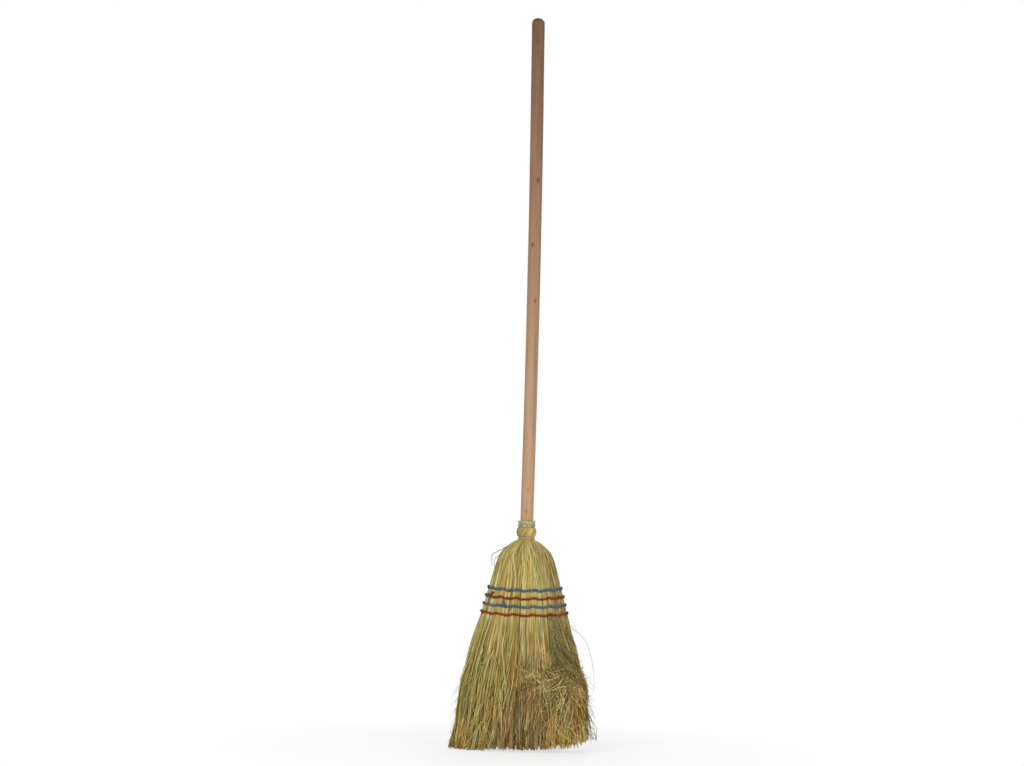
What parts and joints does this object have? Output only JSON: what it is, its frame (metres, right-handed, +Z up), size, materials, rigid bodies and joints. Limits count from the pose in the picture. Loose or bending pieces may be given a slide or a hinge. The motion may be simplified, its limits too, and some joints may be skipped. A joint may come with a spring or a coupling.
{
  "type": "millet broom",
  "caption": "Flat millet broom with a long turned handle, straw bound to it by wire windings and sewn flat by blue and red twine rows.",
  "frame": {"origin": "centre of the sweeping edge, on the floor that the cut straw tips stand on", "axes": "+Z up the handle, X along the width of the sweep, -Y out of the front face"},
  "size_m": [0.2445, 0.0725, 1.3],
  "materials": {
    "handle_wood": "bare turned wood, lightly sanded",
    "outer_straw": "dry sorghum straw, yellow green to tan",
    "inner_straw": "dry sorghum straw, a little darker",
    "galvanised_wire": "galvanised",
    "nail_steel": "bright",
    "blue_twine": "twisted polypropylene twine",
    "red_twine": "twisted polypropylene twine"
  },
  "bodies": {
    "root": {"handle": "handle_wood", "front_hurl": "outer_straw", "back_hurl": "outer_straw", "left_shoulder": "outer_straw", "right_shoulder": "outer_straw", "inner_bundle": "inner_straw", "upper_wire_binding": "galvanised_wire", "lower_wire_binding": "galvanised_wire", "upper_wire_nail": "nail_steel", "lower_wire_nail": "nail_steel", "upper_blue_row": "blue_twine", "upper_red_row": "red_twine", "lower_blue_row": "blue_twine", "lower_red_row": "red_twine", "upper_blue_tuft": "blue_twine", "upper_red_knot": "red_twine", "lower_blue_knot": "blue_twine", "lower_red_knot": "red_twine"}
  },
  "joints": []
}
